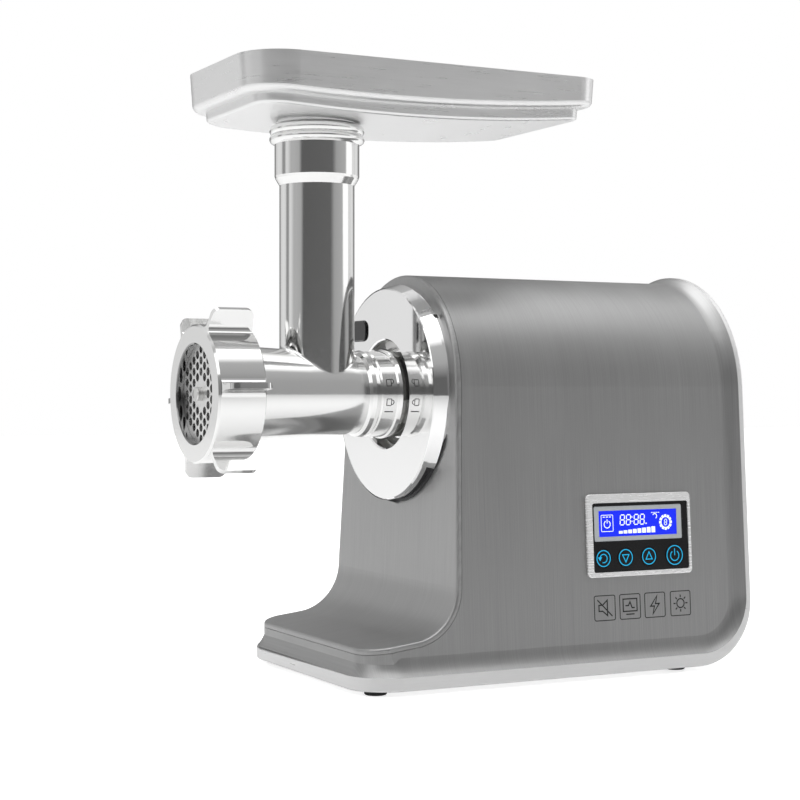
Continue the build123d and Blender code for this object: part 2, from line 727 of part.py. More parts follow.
# ---------------------------------------------------------------- gear train
pressure_angle = radians(20)
backlash = 0.14                      # thinning of each tooth
output_teeth, pinion_teeth, output_module = 66, 11, 1.5
wheel_teeth, motor_teeth, wheel_module = 70, 10, 1.0
pinion_shift = 0.5                   # the wheels take the same shift the other way
output_centres = output_module * (output_teeth + pinion_teeth) / 2
motor_centres = wheel_module * (wheel_teeth + motor_teeth) / 2
counter_y = 28.0
counter_z = axis_z - sqrt(output_centres ** 2 - counter_y ** 2)
motor_z = counter_z - sqrt(motor_centres ** 2 - counter_y ** 2)
output_mesh = degrees(atan2(counter_z - axis_z, counter_y))
motor_mesh = degrees(atan2(motor_z - counter_z, -counter_y))


def tooth_half_angle(radius, teeth, module, shift):
    """Half of a tooth's thickness at a radius, in radians."""
    base = module * teeth / 2 * cos(pressure_angle)
    slope = acos(base / max(radius, base))
    at_base = (pi / 2 + 2 * shift * tan(pressure_angle)) / teeth + tan(pressure_angle) - pressure_angle
    return at_base - (tan(slope) - slope) - backlash / 2 / radius


def gear_outline(teeth, module, shift, first):
    """Corners of an involute gear about the origin, its first tooth centred on an angle."""
    pitch_radius = module * teeth / 2
    root = pitch_radius + module * (shift - 1.25)
    tip = pitch_radius + module * (shift + 1)
    radii = [root, (root + pitch_radius) / 2, pitch_radius, (tip + pitch_radius) / 2, tip]
    corners = []
    for tooth in range(teeth):
        centre = radians(first) + 2 * pi * tooth / teeth
        for radius in radii:
            angle = centre - tooth_half_angle(radius, teeth, module, shift)
            corners.append((radius * cos(angle), radius * sin(angle)))
        for radius in reversed(radii):
            angle = centre + tooth_half_angle(radius, teeth, module, shift)
            corners.append((radius * cos(angle), radius * sin(angle)))
    return corners


output_gear_x = (toe_x + 97, toe_x + 109)
wheel_x = (toe_x + 111.5, toe_x + 119)
with BuildPart() as output_gear:
    with BuildSketch(Plane.YZ.offset(output_gear_x[0])) as wheel:
        with BuildLine():
            outline = gear_outline(output_teeth, output_module, -pinion_shift, output_mesh)
            Polyline(*[(y, z + axis_z) for y, z in outline], close=True)
        make_face()
    extrude(amount=output_gear_x[1] - output_gear_x[0])
    drum(toe_x + 94, toe_x + 111, 16)
    turn([(output_gear_x[0] - 1, 19), (output_gear_x[0] - 1, 43), (output_gear_x[0] + 3, 43),
          (output_gear_x[0] + 3, 19)], mode=Mode.SUBTRACT)
    drum(toe_x + 90, toe_x + 115, 8, mode=Mode.SUBTRACT)
save(output_gear.part, "output_gear")

with BuildPart() as output_shaft:
    turn([
        (toe_x + 80, 0), (toe_x + 80, 13), (toe_x + 94, 13), (toe_x + 94, 8), (toe_x + 125, 8),
        (toe_x + 125, 0),
    ])
    bar((toe_x + 79, toe_x + 92), (-6.1, 6.1), (axis_z - 6.1, axis_z + 6.1), mode=Mode.SUBTRACT)
save(output_shaft.part, "output_shaft")

with BuildPart() as countershaft:
    with BuildSketch(Plane.YZ.offset(toe_x + 96)):
        with BuildLine():
            first_tooth = output_mesh + 180 + 180 / pinion_teeth
            outline = gear_outline(pinion_teeth, output_module, pinion_shift, first_tooth)
            Polyline(*[(y + counter_y, z + counter_z) for y, z in outline], close=True)
        make_face()
    extrude(amount=14)
    drum(toe_x + 84.5, toe_x + 126, 5, counter_y, counter_z)
save(countershaft.part, "countershaft")

with BuildPart() as intermediate_gear:
    with BuildSketch(Plane.YZ.offset(wheel_x[0])):
        with BuildLine():
            outline = gear_outline(wheel_teeth, wheel_module, -pinion_shift, motor_mesh)
            Polyline(*[(y + counter_y, z + counter_z) for y, z in outline], close=True)
        make_face()
    extrude(amount=wheel_x[1] - wheel_x[0])
    drum(wheel_x[0] - 1, wheel_x[1] + 1, 5, counter_y, counter_z, mode=Mode.SUBTRACT)
    for hole in range(6):
        angle = radians(60 * hole)
        drum(wheel_x[0] - 1, wheel_x[1] + 1, 6, counter_y + 20 * cos(angle), counter_z + 20 * sin(angle),
             mode=Mode.SUBTRACT)
save(intermediate_gear.part, "intermediate_gear")

with BuildPart() as motor_shaft:
    with BuildSketch(Plane.YZ.offset(toe_x + 110)):
        with BuildLine():
            first_tooth = motor_mesh + 180 + 180 / motor_teeth
            outline = gear_outline(motor_teeth, wheel_module, pinion_shift, first_tooth)
            Polyline(*[(y, z + motor_z) for y, z in outline], close=True)
        make_face()
    extrude(amount=9.5)
    drum(toe_x + 108, toe_x + 246, 4, 0, motor_z)
save(motor_shaft.part, "motor_shaft")

# ---------------------------------------------------------------- gearbox
case_wall = 3.0
case_floor = 4.0
shaft_places = [(0.0, axis_z, 52.0), (counter_y, counter_z, 37.0), (0.0, motor_z, 12.0)]
gearbox_screw_places = [
    (0, axis_z + 58), (-55, axis_z + 17), (55, axis_z + 17), (-46, axis_z - 34),
    (counter_y + 36, counter_z - 22), (-12, motor_z - 13),
]


def gearbox_outline(start, end, grow, mode=Mode.ADD):
    """Union of a disc round each shaft, as a slab along X."""
    with BuildSketch(Plane.YZ.offset(start)) as slab:
        for y, z, radius in shaft_places:
            with Locations((y, z)):
                Circle(radius + grow)
    extrude(slab.sketch, amount=end - start, mode=mode)


with BuildPart() as gearbox_case:
    gearbox_outline(case_front_x, case_rear_x, case_wall)
    for y, z in gearbox_screw_places:
        drum(case_rear_x - 12, case_rear_x, 5, y, z)
    gearbox_outline(case_front_x + case_floor, case_rear_x + 1, 0, mode=Mode.SUBTRACT)
    turn([
        (toe_x + 59.2, pocket_r), (toe_x + 59.2, snout_r), (case_front_x + 1, snout_r),
        (case_front_x + 1, spigot_r), (toe_x + 70.6, spigot_r), (toe_x + 70.6, 32.0), (toe_x + 66, 32.0),
        (toe_x + 66, pocket_r),
    ])
    for tab in range(tab_count):
        ring_sector(toe_x + 62.5, toe_x + 66, 28.5, pocket_r + 1, 90 + tab * 120, tab_angle)
    drum(case_front_x + case_floor - 1, toe_x + 93, 20)
    drum(case_front_x + case_floor - 1, toe_x + 93, 11, counter_y, counter_z)
    for y in ((-32, -26), (38, 44)):
        bar((toe_x + 88, toe_x + 112), y, (foot_z + wall, 126))
    gearbox_outline(case_front_x + case_floor + 10, case_rear_x + 1, 0, mode=Mode.SUBTRACT)
    drum(case_front_x, toe_x + 94, 16.5, mode=Mode.SUBTRACT)
    drum(case_front_x + case_floor, toe_x + 94, 8, counter_y, counter_z, mode=Mode.SUBTRACT)
    for y, z in gearbox_screw_places:
        drum(case_rear_x - 10, case_rear_x + 1, 1.6, y, z, mode=Mode.SUBTRACT)
save(gearbox_case.part, "gearbox_case")

with BuildPart() as gearbox_cover:
    gearbox_outline(case_rear_x, cover_rear_x, case_wall)
    for y, z in gearbox_screw_places:
        drum(case_rear_x, cover_rear_x, 5, y, z)
    drum(case_rear_x, cover_rear_x, 27, 0, motor_z)
    drum(toe_x + 112, case_rear_x + 1, 13)
    drum(cover_rear_x - 1, toe_x + 128, 11, counter_y, counter_z)
    drum(toe_x + 111, toe_x + 130, 11.5, mode=Mode.SUBTRACT)
    drum(toe_x + 119, toe_x + 129, 8, counter_y, counter_z, mode=Mode.SUBTRACT)
    drum(toe_x + 119, toe_x + 129, 8, 0, motor_z, mode=Mode.SUBTRACT)
    for y, z in gearbox_screw_places:
        drum(case_rear_x - 1, cover_rear_x + 1, 1.8, y, z, mode=Mode.SUBTRACT)
save(gearbox_cover.part, "gearbox_cover")

with BuildPart() as gearbox_screws:
    for y, z in gearbox_screw_places:
        drum(case_rear_x - 8, cover_rear_x, 1.5, y, z)
        drum(cover_rear_x, cover_rear_x + 2.2, 3.2, y, z)
save(gearbox_screws.part, "gearbox_screws")

with BuildPart() as output_bush:
    turn([(toe_x + 80, 13.05), (toe_x + 80, 16.5), (toe_x + 93, 16.5), (toe_x + 93, 13.05)])
save(output_bush.part, "output_bush_front")

with BuildPart() as rear_bush:
    turn([(toe_x + 112, 8.05), (toe_x + 112, 11.5), (cover_rear_x, 11.5), (cover_rear_x, 8.05)])
save(rear_bush.part, "output_bush_rear")

with BuildPart() as counter_bushes:
    for start, end in ((toe_x + 83, toe_x + 93), (toe_x + 119.6, toe_x + 128)):
        turn([(start, 5.05), (start, 8.0), (end, 8.0), (end, 5.05)], counter_y, counter_z)
save(counter_bushes.part, "countershaft_bushes")

# ---------------------------------------------------------------- motor
stator_x = (toe_x + 150, toe_x + 190)
stator_half = 39.0
bore_gap_r = 22.5
core_r = 22.0
bearing_r = 11.0
front_bearing_x = (toe_x + 135, toe_x + 142)
rear_bearing_x = (toe_x + 218, toe_x + 225)
corner_screws = [(y, motor_z + z) for y in (-32, 32) for z in (-32, 32)]
slot_count = 12
slot_ring_r = 18.5


def motor_plate(start, end, half, corner, mode=Mode.ADD):
    """Square plate with rounded corners about the motor's axis."""
    with BuildSketch(Plane.YZ.offset(start)) as square:
        with Locations((0, motor_z)):
            RectangleRounded(2 * half, 2 * half, corner)
    extrude(square.sketch, amount=end - start, mode=mode)


def motor_sector(start, end, inner, outer, middle, spread, mode=Mode.ADD):
    """Part of a ring about the motor's axis."""
    first = radians(middle - spread / 2)
    last = radians(middle + spread / 2)

    def at(radius, angle):
        return (radius * cos(angle), motor_z + radius * sin(angle))

    with BuildSketch(Plane.YZ.offset(start)) as sector:
        with BuildLine():
            ThreePointArc(at(outer, first), at(outer, radians(middle)), at(outer, last))
            Line(at(outer, last), at(inner, last))
            ThreePointArc(at(inner, last), at(inner, radians(middle)), at(inner, first))
            Line(at(inner, first), at(outer, first))
        make_face()
    extrude(sector.sketch, amount=end - start, mode=mode)


with BuildPart() as stator:
    motor_plate(stator_x[0], stator_x[1], stator_half, 14)
    drum(stator_x[0], stator_x[1], bore_gap_r, 0, motor_z, mode=Mode.SUBTRACT)
    for middle in (0, 180):
        motor_sector(stator_x[0], stator_x[1], bore_gap_r - 1, 31, middle, 72, mode=Mode.SUBTRACT)
    for y, z in corner_screws:
        drum(stator_x[0], stator_x[1], 2.2, y, z, mode=Mode.SUBTRACT)
save(stator.part, "motor_stator")

with BuildPart() as field_coils:
    for middle in (0, 180):
        motor_sector(stator_x[0] - 7, stator_x[1] + 7, 24, 30.5, middle, 66)
save(field_coils.part, "field_coils")

with BuildPart() as armature:
    drum(stator_x[0], stator_x[1], core_r, 0, motor_z)
    drum(stator_x[0], stator_x[1], 4, 0, motor_z, mode=Mode.SUBTRACT)
    for slot in range(slot_count):
        angle = 2 * pi * slot / slot_count
        drum(stator_x[0], stator_x[1], 2.4, slot_ring_r * cos(angle), motor_z + slot_ring_r * sin(angle),
             mode=Mode.SUBTRACT)
save(armature.part, "armature_core")

with BuildPart() as windings:
    for start, end in ((stator_x[0] - 6, stator_x[0]), (stator_x[1], stator_x[1] + 6)):
        turn([(start, 8), (start, 18), (start + 2, 20.8), (end - 2, 20.8), (end, 18), (end, 8)], 0, motor_z)
    for slot in range(slot_count):
        angle = 2 * pi * slot / slot_count
        wire_z = motor_z + slot_ring_r * sin(angle)
        drum(stator_x[0] - 1, stator_x[1] + 1, 2.2, slot_ring_r * cos(angle), wire_z)
save(windings.part, "armature_windings")

commutator_x = (toe_x + 200, toe_x + 213)
commutator_r = 12.0
with BuildPart() as commutator:
    drum(commutator_x[0], commutator_x[1], commutator_r, 0, motor_z)
    drum(commutator_x[0], commutator_x[1], 4, 0, motor_z, mode=Mode.SUBTRACT)
    for slit in range(slot_count):
        motor_sector(commutator_x[0] - 1, commutator_x[1] + 1, commutator_r - 1, commutator_r + 1,
                     15 + slit * 360 / slot_count, 3, mode=Mode.SUBTRACT)
save(commutator.part, "commutator")

with BuildPart() as bearings:
    for start, end in (front_bearing_x, rear_bearing_x):
        turn([(start, 4 + running), (start, bearing_r), (end, bearing_r), (end, 4 + running)], 0, motor_z)
save(bearings.part, "motor_bearings")

with BuildPart() as front_bracket:
    motor_plate(toe_x + 130, toe_x + 134, 37, 12)
    drum(toe_x + 134, front_bearing_x[1], 15, 0, motor_z)
    for arm in range(3):
        angle = radians(60 + 120 * arm)
        drum(cover_rear_x, toe_x + 131, 4.5, 20 * cos(angle), motor_z + 20 * sin(angle))
    drum(front_bearing_x[0], front_bearing_x[1] + 1, bearing_r, 0, motor_z, mode=Mode.SUBTRACT)
    drum(toe_x + 129, toe_x + 136, 6, 0, motor_z, mode=Mode.SUBTRACT)
    for middle in (0, 90, 180, 270):
        motor_sector(toe_x + 129, toe_x + 134, 24, 33, middle, 50, mode=Mode.SUBTRACT)
    for y, z in corner_screws:
        drum(toe_x + 131.5, toe_x + 135, 2.0, y, z, mode=Mode.SUBTRACT)
        drum(toe_x + 134, stator_x[0], 4.5, y, z)
        drum(toe_x + 131.5, stator_x[0], 2.2, y, z, mode=Mode.SUBTRACT)
save(front_bracket.part, "motor_bracket_front")

with BuildPart() as rear_bracket:
    motor_plate(toe_x + 216, toe_x + 220, 37, 12)
    drum(toe_x + 220, rear_bearing_x[1], 15, 0, motor_z)
    drum(rear_bearing_x[0], rear_bearing_x[1] + 1, bearing_r, 0, motor_z, mode=Mode.SUBTRACT)
    drum(toe_x + 215, toe_x + 219, 6, 0, motor_z, mode=Mode.SUBTRACT)
    for middle in (0, 90, 180, 270):
        motor_sector(toe_x + 215, toe_x + 221, 24, 33, middle, 50, mode=Mode.SUBTRACT)
    for y, z in corner_screws:
        drum(stator_x[1], toe_x + 217, 4.5, y, z)
        drum(stator_x[1], toe_x + 221, 2.2, y, z, mode=Mode.SUBTRACT)
save(rear_bracket.part, "motor_bracket_rear")

with BuildPart() as motor_screws:
    for y, z in corner_screws:
        drum(toe_x + 131.5, toe_x + 220, 2.0, y, z)
        drum(toe_x + 220, toe_x + 223, 3.8, y, z)
save(motor_screws.part, "motor_screws")

brush_x = (toe_x + 203, toe_x + 210)
with BuildPart() as brushes:
    for side in (-1, 1):
        bar(brush_x, sorted((side * (commutator_r + 0.15), side * 24)), (motor_z - 3, motor_z + 3))
save(brushes.part, "carbon_brushes")

with BuildPart() as brush_holders:
    for side in (-1, 1):
        bar((brush_x[0] - 2, toe_x + 216), sorted((side * 15, side * 31)), (motor_z - 5, motor_z + 5))
        bar(brush_x, sorted((side * 14, side * 24)), (motor_z - 3, motor_z + 3), mode=Mode.SUBTRACT)
save(brush_holders.part, "brush_holders")

fan_x = (toe_x + 229, toe_x + 243)
blade_count = 11
with BuildPart() as fan:
    drum(fan_x[0], fan_x[1], 9, 0, motor_z)
    drum(fan_x[0], fan_x[0] + 1.8, 34, 0, motor_z)
    for blade_step in range(blade_count):
        with BuildSketch(Plane.YZ.offset(fan_x[0] + 1)) as blade_face:
            with BuildLine():
                ThreePointArc((7, 0), (19, 3.5), (32, 12))
                Line((32, 12), (32.6, 10.2))
                ThreePointArc((32.6, 10.2), (19.5, 1.9), (7, -1.6))
                Line((7, -1.6), (7, 0))
            make_face()
        blade = extrude(blade_face.sketch, amount=fan_x[1] - fan_x[0] - 1, mode=Mode.PRIVATE)
        turned_blade = blade.rotate(Axis.X, 360 * blade_step / blade_count)
        add(turned_blade.moved(Location((0, 0, motor_z))))
    drum(fan_x[0] - 1, fan_x[1] + 1, 4, 0, motor_z, mode=Mode.SUBTRACT)
save(fan.part, "cooling_fan")

cradle_top_z = motor_z - stator_half - 4
with BuildPart() as cradle:
    bar((stator_x[0] + 2, stator_x[1] - 2), (-34, 34), (foot_z + wall, cradle_top_z))
    bar((stator_x[0], stator_x[1]), (-30, 30), (foot_z + wall - 1, cradle_top_z - 4), mode=Mode.SUBTRACT)
save(cradle.part, "motor_cradle")

with BuildPart() as mounts:
    for side in (-1, 1):
        mount_y = sorted((side * 8, side * 24))
        bar((stator_x[0] + 6, stator_x[1] - 6), mount_y, (cradle_top_z, motor_z - stator_half))
save(mounts.part, "motor_mounts")

# ---------------------------------------------------------------- rear panel and power inlet
panel_front_x = shell_rear_x - 3.0
panel_back_x = shell_rear_x + 1.8
inlet_centre = (44.0, 54.0)
inlet_size = (31.0, 24.0)
rear_screw_places = [(-66, 50), (66, 96), (-46, axis_z + 41), (46, axis_z + 41)]


def rear_outline(start, end, inset, bottom, mode=Mode.ADD):
    """Arch-shaped slab along X."""
    with BuildSketch(Plane.YZ.offset(start)) as slab:
        with BuildLine():
            arch_outline(inset, bottom)
        make_face()
    extrude(slab.sketch, amount=end - start, mode=mode)


with BuildPart() as rear_panel:
    rear_outline(panel_front_x, shell_rear_x, wall + gap, opening_z - 4)
    add(side_block(toe_x - 100, shell_rear_x, shell_z, rear_corner_r), mode=Mode.INTERSECT)
    rear_outline(shell_rear_x, panel_back_x, bezel_width - outset + 0.2, opening_z + 0.2)
    for row in range(9):
        z = axis_z - 20 + 8 * row
        bar((panel_front_x - 1, panel_back_x + 1), (-34, 34), (z, z + 3.6), mode=Mode.SUBTRACT)
    for row in range(6):
        z = motor_z - 12 + 8 * row
        bar((panel_front_x - 1, panel_back_x + 1), (-52, 12), (z, z + 3.6), mode=Mode.SUBTRACT)
    with BuildSketch(Plane.YZ.offset(panel_front_x - 1)):
        with Locations(inlet_centre):
            RectangleRounded(inlet_size[0] + 0.2, inlet_size[1] + 0.2, 3)
    extrude(amount=10, mode=Mode.SUBTRACT)
    for y, z in rear_screw_places:
        drum(panel_front_x - 1, panel_back_x + 1, 1.8, y, z, mode=Mode.SUBTRACT)
save(rear_panel.part, "rear_panel")

with BuildPart() as power_inlet:
    with BuildSketch(Plane.YZ.offset(panel_front_x - 15)):
        with Locations(inlet_centre):
            RectangleRounded(inlet_size[0], inlet_size[1], 3)
    extrude(amount=panel_back_x - panel_front_x + 15)
    with BuildSketch(Plane.YZ.offset(panel_front_x - 13)):
        with Locations(inlet_centre):
            RectangleRounded(24, 16.5, 3)
    extrude(amount=40, mode=Mode.SUBTRACT)
    for y, z in ((-7, -2), (7, -2), (0, 3)):
        bar((panel_front_x - 14, panel_front_x - 5), (inlet_centre[0] + y - 1, inlet_centre[0] + y + 1),
            (inlet_centre[1] + z - 2, inlet_centre[1] + z + 2))
save(power_inlet.part, "power_inlet")

with BuildPart() as rear_screws:
    for y, z in rear_screw_places:
        drum(panel_back_x - 12, panel_back_x, 1.6, y, z)
        drum(panel_back_x, panel_back_x + 1.8, 3.2, y, z)
save(rear_screws.part, "rear_screws")

# ---------------------------------------------------------------- power board on the far flank
board_x = (toe_x + 143, toe_x + 232)
with BuildPart() as power_board:
    bar(board_x, (board_y - 1.6, board_y), (58, 132))
save(power_board.part, "power_board")

capacitors = [(toe_x + 160, 110, 8, 15), (toe_x + 180, 110, 8, 15), (toe_x + 165, 80, 6, 11)]
with BuildPart() as board_components:
    for x, z, radius, tall in capacitors:
        with BuildSketch(Plane.XZ.offset(-(board_y - 1.6 - tall))):
            with Locations((x, z)):
                Circle(radius)
        extrude(amount=-tall)
    bar((toe_x + 192, toe_x + 214), (board_y - 1.6 - 14, board_y - 1.6), (100, 124))
    bar((toe_x + 180, toe_x + 222), (board_y - 1.6 - 9, board_y - 1.6), (64, 82))
save(board_components.part, "board_components")

# ---------------------------------------------------------------- control panel
bezel_high = 2.0
glass_high = 1.2
key_high = 1.6
board_low = -10.0
with BuildPart() as panel_bezel:
    plate(panel_size, 0, bezel_high, corner=3.0)
    plate(panel_plug, -3.0, 0.5, corner=2.8)
    fillet(panel_bezel.faces().sort_by(Axis.Y)[0].edges(), 0.6)
    plate(field_size, -5, 5, centre=field_shift, corner=1.5, mode=Mode.SUBTRACT)
save(panel_bezel.part, "panel_bezel")

with BuildPart() as panel_glass:
    plate((field_size[0] - 0.1, field_size[1] - 0.1), -1.4, glass_high, centre=field_shift, corner=1.4)
    plate(display_size, -3, 3, centre=display_centre, corner=1.0, mode=Mode.SUBTRACT)
    for name, u in key_places.items():
        stud(key_radii[name] + 0.35, -3, 3, (u, key_row_v), mode=Mode.SUBTRACT)
save(panel_glass.part, "panel_glass")

with BuildPart() as display_surround:
    surround_size = (display_size[0] - 0.1, display_size[1] - 0.1)
    plate(surround_size, -1.4, glass_high - 0.2, centre=display_centre, corner=0.9)
    plate(lcd_size, -3, 3, centre=display_centre, corner=0.4, mode=Mode.SUBTRACT)
save(display_surround.part, "display_surround")

with BuildPart() as display_module:
    plate((lcd_size[0] - 0.1, lcd_size[1] - 0.1), -1.4, glass_high - 0.6, centre=display_centre, corner=0.3)
    plate((lcd_size[0] + 4, lcd_size[1] + 4), -5, -1.4, centre=display_centre, corner=0.5)
save(display_module.part, "display_module")

for name, u in key_places.items():
    with BuildPart() as key:
        stud(key_radii[name], -1.4, key_high, (u, key_row_v))
        fillet(key.faces().sort_by(Axis.Y)[0].edges(), 0.5)
        stud(2.5, -6.0, -1.0, (u, key_row_v))
    save(key.part, "key_" + name)

with BuildPart() as display_board:
    plate((68, 40), board_low, board_low + 1.6, corner=1)
save(display_board.part, "display_board")

with BuildPart() as key_switches:
    for name, u in key_places.items():
        plate((6, 6), board_low + 1.6, board_low + 2.8, centre=(u, key_row_v), corner=0.5)
        stud(1.7, board_low + 2.0, -6.0 - key_travel - 0.1, (u, key_row_v))
save(key_switches.part, "key_switches")

# ---------------------------------------------------------------- base screws
with BuildPart() as base_screws:
    for x in boss_x:
        for side in (-1, 1):
            post(x, side * boss_y, (foot_z + 3, shell_z + 5), 1.7)
            post(x, side * boss_y, (foot_z + 0.4, foot_z + 3), 3.8)
save(base_screws.part, "base_screws")
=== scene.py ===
import json
import math

import bmesh
import bpy
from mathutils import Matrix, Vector


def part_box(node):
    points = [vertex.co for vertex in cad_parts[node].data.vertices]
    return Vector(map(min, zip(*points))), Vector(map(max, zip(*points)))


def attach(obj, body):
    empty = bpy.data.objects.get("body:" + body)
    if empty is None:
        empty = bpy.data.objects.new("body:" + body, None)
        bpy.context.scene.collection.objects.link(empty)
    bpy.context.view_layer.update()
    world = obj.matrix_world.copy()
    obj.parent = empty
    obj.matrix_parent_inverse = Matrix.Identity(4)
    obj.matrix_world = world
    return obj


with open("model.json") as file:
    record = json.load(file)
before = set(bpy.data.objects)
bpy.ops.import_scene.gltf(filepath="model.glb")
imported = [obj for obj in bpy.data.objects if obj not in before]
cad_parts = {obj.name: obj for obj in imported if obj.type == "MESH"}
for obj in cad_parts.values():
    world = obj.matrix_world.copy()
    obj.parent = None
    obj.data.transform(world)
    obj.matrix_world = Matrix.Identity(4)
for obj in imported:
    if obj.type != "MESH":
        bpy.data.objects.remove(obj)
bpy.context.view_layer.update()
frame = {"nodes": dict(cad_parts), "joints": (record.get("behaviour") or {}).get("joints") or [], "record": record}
MM = 0.001

# ------------------------------------------------------------------ camera
CAMERA_PLACE = (-0.5355, -0.9713, 0.170)
VIEW_AZIMUTH = math.radians(27.3)        # the lens looks along +Y turned this far towards +X
LENS = 80.1
SHIFT_Y = -0.0075


def add_camera():
    data = bpy.data.cameras.new("camera")
    data.lens = LENS
    data.sensor_width = 36.0
    data.shift_y = SHIFT_Y
    data.clip_end = 20.0
    camera = bpy.data.objects.new("camera", data)
    bpy.context.scene.collection.objects.link(camera)
    camera.location = CAMERA_PLACE
    camera.rotation_euler = (math.pi / 2, 0.0, -VIEW_AZIMUTH)
    bpy.context.scene.camera = camera


add_camera()
bpy.context.scene.view_settings.view_transform = "Standard"


# ------------------------------------------------------------------ material helpers
def new_material(name, color, metallic=0.0, roughness=0.4, **sockets):
    """Principled material whose uniform values sit on the shader's own sockets."""
    made = bpy.data.materials.new(name)
    made.use_nodes = True
    shader = made.node_tree.nodes["Principled BSDF"]
    shader.inputs["Base Color"].default_value = (*color, 1.0)
    shader.inputs["Metallic"].default_value = metallic
    shader.inputs["Roughness"].default_value = roughness
    for socket, value in sockets.items():
        shader.inputs[socket.replace("_", " ")].default_value = value
    return made


def add_node(made, kind, **settings):
    node = made.node_tree.nodes.new(kind)
    for name, value in settings.items():
        if name in node.inputs:
            node.inputs[name].default_value = value
        else:
            setattr(node, name, value)
    return node


def link(made, source, target):
    made.node_tree.links.new(source, target)


def noise(made, stretch, scale=1.0, detail=3.0, roughness=0.5):
    """Noise in the object's own space, stretched by a scale along each axis."""
    place = add_node(made, "ShaderNodeTexCoord")
    mapping = add_node(made, "ShaderNodeMapping")
    mapping.inputs["Scale"].default_value = stretch
    texture = add_node(made, "ShaderNodeTexNoise")
    texture.inputs["Scale"].default_value = scale
    texture.inputs["Detail"].default_value = detail
    texture.inputs["Roughness"].default_value = roughness
    link(made, place.outputs["Object"], mapping.inputs["Vector"])
    link(made, mapping.outputs["Vector"], texture.inputs["Vector"])
    return texture.outputs["Fac"]


def spread(made, source, low, high, from_low=0.25, from_high=0.75):
    """Map a value onto a range."""
    remap = add_node(made, "ShaderNodeMapRange")
    remap.inputs["From Min"].default_value = from_low
    remap.inputs["From Max"].default_value = from_high
    remap.inputs["To Min"].default_value = low
    remap.inputs["To Max"].default_value = high
    link(made, source, remap.inputs["Value"])
    return remap.outputs["Result"]


def tint(made, source, dark, light):
    """Colour that runs between two tones with a value."""
    ramp = add_node(made, "ShaderNodeValToRGB")
    ramp.color_ramp.elements[0].color = (*dark, 1.0)
    ramp.color_ramp.elements[1].color = (*light, 1.0)
    ramp.color_ramp.elements[0].position = 0.25
    ramp.color_ramp.elements[1].position = 0.75
    link(made, source, ramp.inputs["Fac"])
    return ramp.outputs["Color"]


def to_shader(made, socket, source):
    shader = made.node_tree.nodes["Principled BSDF"]
    link(made, source, shader.inputs[socket])


def bump(made, source, strength, distance, under=None):
    node = add_node(made, "ShaderNodeBump")
    node.inputs["Strength"].default_value = strength
    node.inputs["Distance"].default_value = distance
    link(made, source, node.inputs["Height"])
    if under is not None:
        link(made, under, node.inputs["Normal"])
    return node.outputs["Normal"]


def brushed(name, color, metallic, roughness, stretch, contrast=0.12, depth=0.00002, **sockets):
    """Metal with a fine grain: a stretch is high across the strokes and low along them."""
    made = new_material(name, color, metallic, roughness, **sockets)
    fine = noise(made, stretch, 1.0, 4.0, 0.6)
    broad = noise(made, tuple(s * 0.04 + 2 for s in stretch), 1.0, 2.0)
    dark = tuple(c * (1 - contrast) for c in color)
    light = tuple(min(1.0, c * (1 + contrast)) for c in color)
    to_shader(made, "Base Color", tint(made, fine, dark, light))
    mix = add_node(made, "ShaderNodeMath", operation="ADD")
    link(made, spread(made, fine, -0.05, 0.07), mix.inputs[0])
    link(made, spread(made, broad, roughness - 0.03, roughness + 0.03), mix.inputs[1])
    to_shader(made, "Roughness", mix.outputs[0])
    to_shader(made, "Normal", bump(made, fine, 0.25, depth))
    return made


def polished(name, color, roughness, wave=0.00003, **sockets):
    """Mirror metal with the slight waves and hairlines that hand polishing leaves."""
    made = new_material(name, color, 1.0, roughness, **sockets)
    wide = noise(made, (60, 60, 60), 1.0, 2.0)
    hair = noise(made, (900, 900, 900), 1.0, 3.0, 0.7)
    to_shader(made, "Roughness", spread(made, hair, roughness * 0.6, roughness * 1.7))
    to_shader(made, "Normal", bump(made, wide, 0.3, wave))
    return made


def moulded(name, color, roughness, grain=1500, depth=0.00004, **sockets):
    """Plastic or rubber with a fine spark-eroded texture."""
    made = new_material(name, color, 0.0, roughness, **sockets)
    fine = noise(made, (grain, grain, grain), 1.0, 3.0)
    broad = noise(made, (40, 40, 40), 1.0, 2.0)
    to_shader(made, "Roughness", spread(made, broad, roughness - 0.05, roughness + 0.05))
    to_shader(made, "Normal", bump(made, fine, 0.35, depth))
    return made


# ------------------------------------------------------------------ materials
SATIN_CONTRAST = 0.02
SATIN_DEPTH = 0.000006

